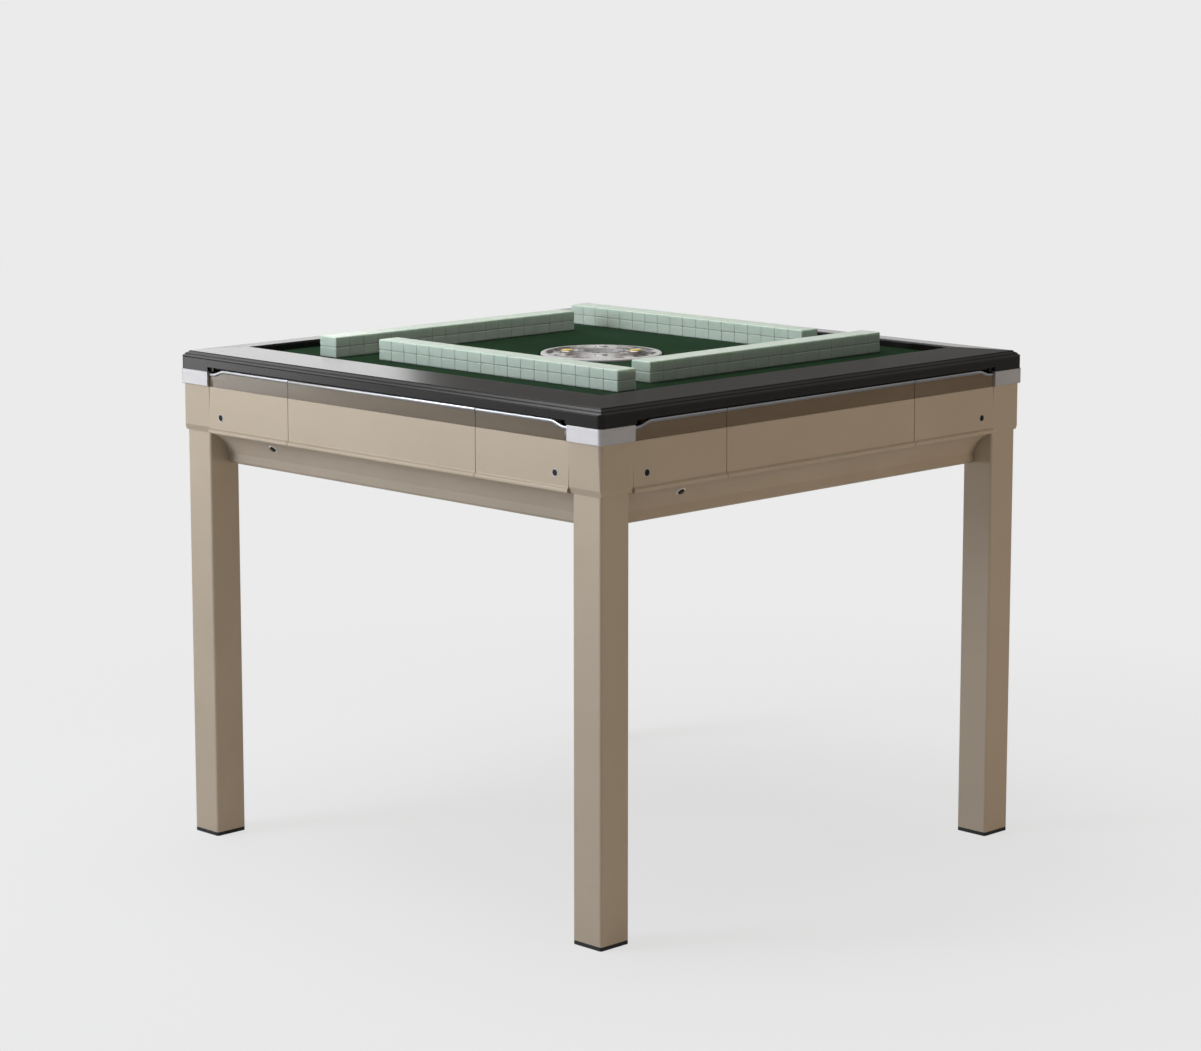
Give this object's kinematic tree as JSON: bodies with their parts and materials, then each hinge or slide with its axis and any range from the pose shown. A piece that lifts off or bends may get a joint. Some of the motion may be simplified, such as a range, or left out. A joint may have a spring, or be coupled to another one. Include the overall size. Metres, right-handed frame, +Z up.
{
  "type": "automatic mahjong table",
  "caption": "Automatic mahjong table: square framed felt top with rising tile walls, a lifting dice console, pull-out chip drawers, a shuffling drum in its tray and square legs.",
  "frame": {"origin": "on the floor under the middle of the table", "axes": "+Z up, -Y towards the front player, +X to the front player's right"},
  "size_m": [0.962, 0.962, 0.8238],
  "materials": {
    "champagne_metal": "satin champagne paint",
    "champagne_plastic": "satin champagne plastic",
    "tray_plastic": "matt champagne plastic",
    "black_plastic": "matt black plastic",
    "silver_trim": "satin silver",
    "graphite_plastic": "semi-gloss graphite plastic",
    "smoked_plastic": "glossy smoked strip",
    "board_wood": "bare composite board",
    "felt": "deep green cloth",
    "steel": "grey powder coat",
    "dark_steel": "black zinc",
    "bright_steel": "ground steel",
    "drawer_plastic": "satin champagne plastic",
    "tile_plastic": "polished pale mint plastic",
    "lift_alloy": "mill finish alloy",
    "pearl_plastic": "pearl white plastic",
    "clear_dome": "clear polished",
    "dice_black": "polished black plastic",
    "button_yellow": "glossy yellow plastic",
    "drum_plastic": "matt grey plastic",
    "gear_plastic": "natural gear plastic",
    "motor_metal": "black motor case",
    "belt_rubber": "matt belt rubber",
    "roller_alloy": "turned alloy",
    "circuit": "green circuit board"
  },
  "bodies": {
    "table": {"legs": "champagne_metal", "leg_pads": "black_plastic", "corner_posts": "champagne_plastic", "corner_trims": "silver_trim", "chassis_frame": "steel", "base_plate": "steel", "leg_bolts": "dark_steel", "under_tray": "tray_plastic", "case_screws": "dark_steel", "apron_panels": "champagne_plastic", "apron_bands": "smoked_plastic", "drawer_runners": "bright_steel", "tabletop_board": "board_wood", "playing_felt": "felt", "frame_rails": "graphite_plastic", "frame_corners": "graphite_plastic", "lift_motors": "motor_metal", "lift_guide_rods": "bright_steel", "drum_motor": "motor_metal", "console_guide": "lift_alloy", "conveyor_frames": "steel", "conveyor_belts": "belt_rubber", "control_board": "circuit", "power_inlet": "black_plastic"},
    "drawer_front": {"chip_drawer_front": "drawer_plastic", "drawer_band_front": "smoked_plastic"},
    "lift_front": {"lift_platform_front": "lift_alloy", "tile_wall_front": "tile_plastic"},
    "crank_front": {"lift_crank_front": "bright_steel"},
    "button_front": {"dice_button_front": "pearl_plastic"},
    "roller_front": {"conveyor_roller_front": "roller_alloy"},
    "drawer_right": {"chip_drawer_right": "drawer_plastic", "drawer_band_right": "smoked_plastic"},
    "lift_right": {"lift_platform_right": "lift_alloy", "tile_wall_right": "tile_plastic"},
    "crank_right": {"lift_crank_right": "bright_steel"},
    "button_right": {"dice_button_right": "button_yellow"},
    "roller_right": {"conveyor_roller_right": "roller_alloy"},
    "drawer_back": {"chip_drawer_back": "drawer_plastic", "drawer_band_back": "smoked_plastic"},
    "lift_back": {"lift_platform_back": "lift_alloy", "tile_wall_back": "tile_plastic"},
    "crank_back": {"lift_crank_back": "bright_steel"},
    "button_back": {"dice_button_back": "pearl_plastic"},
    "roller_back": {"conveyor_roller_back": "roller_alloy"},
    "drawer_left": {"chip_drawer_left": "drawer_plastic", "drawer_band_left": "smoked_plastic"},
    "lift_left": {"lift_platform_left": "lift_alloy", "tile_wall_left": "tile_plastic"},
    "crank_left": {"lift_crank_left": "bright_steel"},
    "button_left": {"dice_button_left": "button_yellow"},
    "roller_left": {"conveyor_roller_left": "roller_alloy"},
    "console": {"console_body": "pearl_plastic", "console_post": "bright_steel", "dice_dome": "clear_dome"},
    "dice_spinner": {"dice_tray": "pearl_plastic", "dice": "dice_black"},
    "drum": {"shuffle_drum": "drum_plastic"},
    "pinion": {"drum_pinion": "gear_plastic"},
    "rocker": {"power_switch": "black_plastic"}
  },
  "joints": [
    {"name": "drawer_front_slide", "type": "slide", "parent": "table", "child": "drawer_front", "axis": [0, -1, 0], "range_m": [0, 0.11]},
    {"name": "drawer_right_slide", "type": "slide", "parent": "table", "child": "drawer_right", "axis": [1, 0, 0], "range_m": [0, 0.11]},
    {"name": "drawer_back_slide", "type": "slide", "parent": "table", "child": "drawer_back", "axis": [0, 1, 0], "range_m": [0, 0.11]},
    {"name": "drawer_left_slide", "type": "slide", "parent": "table", "child": "drawer_left", "axis": [-1, 0, 0], "range_m": [0, 0.11]},
    {"name": "lift_front_slide", "type": "slide", "parent": "table", "child": "lift_front", "axis": [0, 0, 1], "range_m": [-0.038, 0]},
    {"name": "lift_right_slide", "type": "slide", "parent": "table", "child": "lift_right", "axis": [0, 0, 1], "range_m": [-0.038, 0]},
    {"name": "lift_back_slide", "type": "slide", "parent": "table", "child": "lift_back", "axis": [0, 0, 1], "range_m": [-0.038, 0]},
    {"name": "lift_left_slide", "type": "slide", "parent": "table", "child": "lift_left", "axis": [0, 0, 1], "range_m": [-0.038, 0]},
    {"name": "crank_front_turn", "type": "hinge", "parent": "table", "child": "crank_front", "pos_m": [0.15932, -0.28225, 0.7], "axis": [0, 1, 0], "range_deg": [0, 60.5]},
    {"name": "crank_right_turn", "type": "hinge", "parent": "table", "child": "crank_right", "pos_m": [0.28225, 0.15932, 0.7], "axis": [-1, 0, 0], "range_deg": [0, 60.5]},
    {"name": "crank_back_turn", "type": "hinge", "parent": "table", "child": "crank_back", "pos_m": [-0.15932, 0.28225, 0.7], "axis": [0, -1, 0], "range_deg": [0, 60.5]},
    {"name": "crank_left_turn", "type": "hinge", "parent": "table", "child": "crank_left", "pos_m": [-0.28225, -0.15932, 0.7], "axis": [1, 0, 0], "range_deg": [0, 60.5]},
    {"name": "console_lift", "type": "slide", "parent": "table", "child": "console", "axis": [0, 0, 1], "range_m": [0, 0.06]},
    {"name": "dice_spin", "type": "hinge", "parent": "console", "child": "dice_spinner", "pos_m": [0, 0, 0.784], "axis": [0, 0, 1], "continuous": true},
    {"name": "dice_button_front_press", "type": "slide", "parent": "console", "child": "button_front", "axis": [0, 0, -1], "range_m": [0, 0.0015], "stiffness_N_per_m": 400, "springref_m": -0.001},
    {"name": "dice_button_right_press", "type": "slide", "parent": "console", "child": "button_right", "axis": [0, 0, -1], "range_m": [0, 0.0015], "stiffness_N_per_m": 400, "springref_m": -0.001},
    {"name": "dice_button_back_press", "type": "slide", "parent": "console", "child": "button_back", "axis": [0, 0, -1], "range_m": [0, 0.0015], "stiffness_N_per_m": 400, "springref_m": -0.001},
    {"name": "dice_button_left_press", "type": "slide", "parent": "console", "child": "button_left", "axis": [0, 0, -1], "range_m": [0, 0.0015], "stiffness_N_per_m": 400, "springref_m": -0.001},
    {"name": "drum_spin", "type": "hinge", "parent": "table", "child": "drum", "pos_m": [0, 0, 0.69], "axis": [0, 0, 1], "continuous": true},
    {"name": "pinion_spin", "type": "hinge", "parent": "table", "child": "pinion", "pos_m": [-0.08485, 0.08485, 0.68], "axis": [0, 0, 1], "continuous": true},
    {"name": "roller_front_spin", "type": "hinge", "parent": "table", "child": "roller_front", "pos_m": [0.094, -0.23123, 0.7434], "axis": [0, 1, 0], "continuous": true},
    {"name": "roller_right_spin", "type": "hinge", "parent": "table", "child": "roller_right", "pos_m": [0.23123, 0.094, 0.7434], "axis": [-1, 0, 0], "continuous": true},
    {"name": "roller_back_spin", "type": "hinge", "parent": "table", "child": "roller_back", "pos_m": [-0.094, 0.23123, 0.7434], "axis": [0, -1, 0], "continuous": true},
    {"name": "roller_left_spin", "type": "hinge", "parent": "table", "child": "roller_left", "pos_m": [-0.23123, -0.094, 0.7434], "axis": [1, 0, 0], "continuous": true},
    {"name": "power_switch_rock", "type": "hinge", "parent": "table", "child": "rocker", "pos_m": [-0.2963, 0.35, 0.6166], "axis": [0, 1, 0], "range_deg": [-14, 0]}
  ],
  "couplings": [
    {"joint": "crank_front_turn", "follows": "lift_front_slide", "rad_per_m": -27.558},
    {"joint": "crank_right_turn", "follows": "lift_right_slide", "rad_per_m": -27.558},
    {"joint": "crank_back_turn", "follows": "lift_back_slide", "rad_per_m": -27.558},
    {"joint": "crank_left_turn", "follows": "lift_left_slide", "rad_per_m": -27.558},
    {"joint": "pinion_spin", "follows": "drum_spin", "ratio": -4}
  ]
}
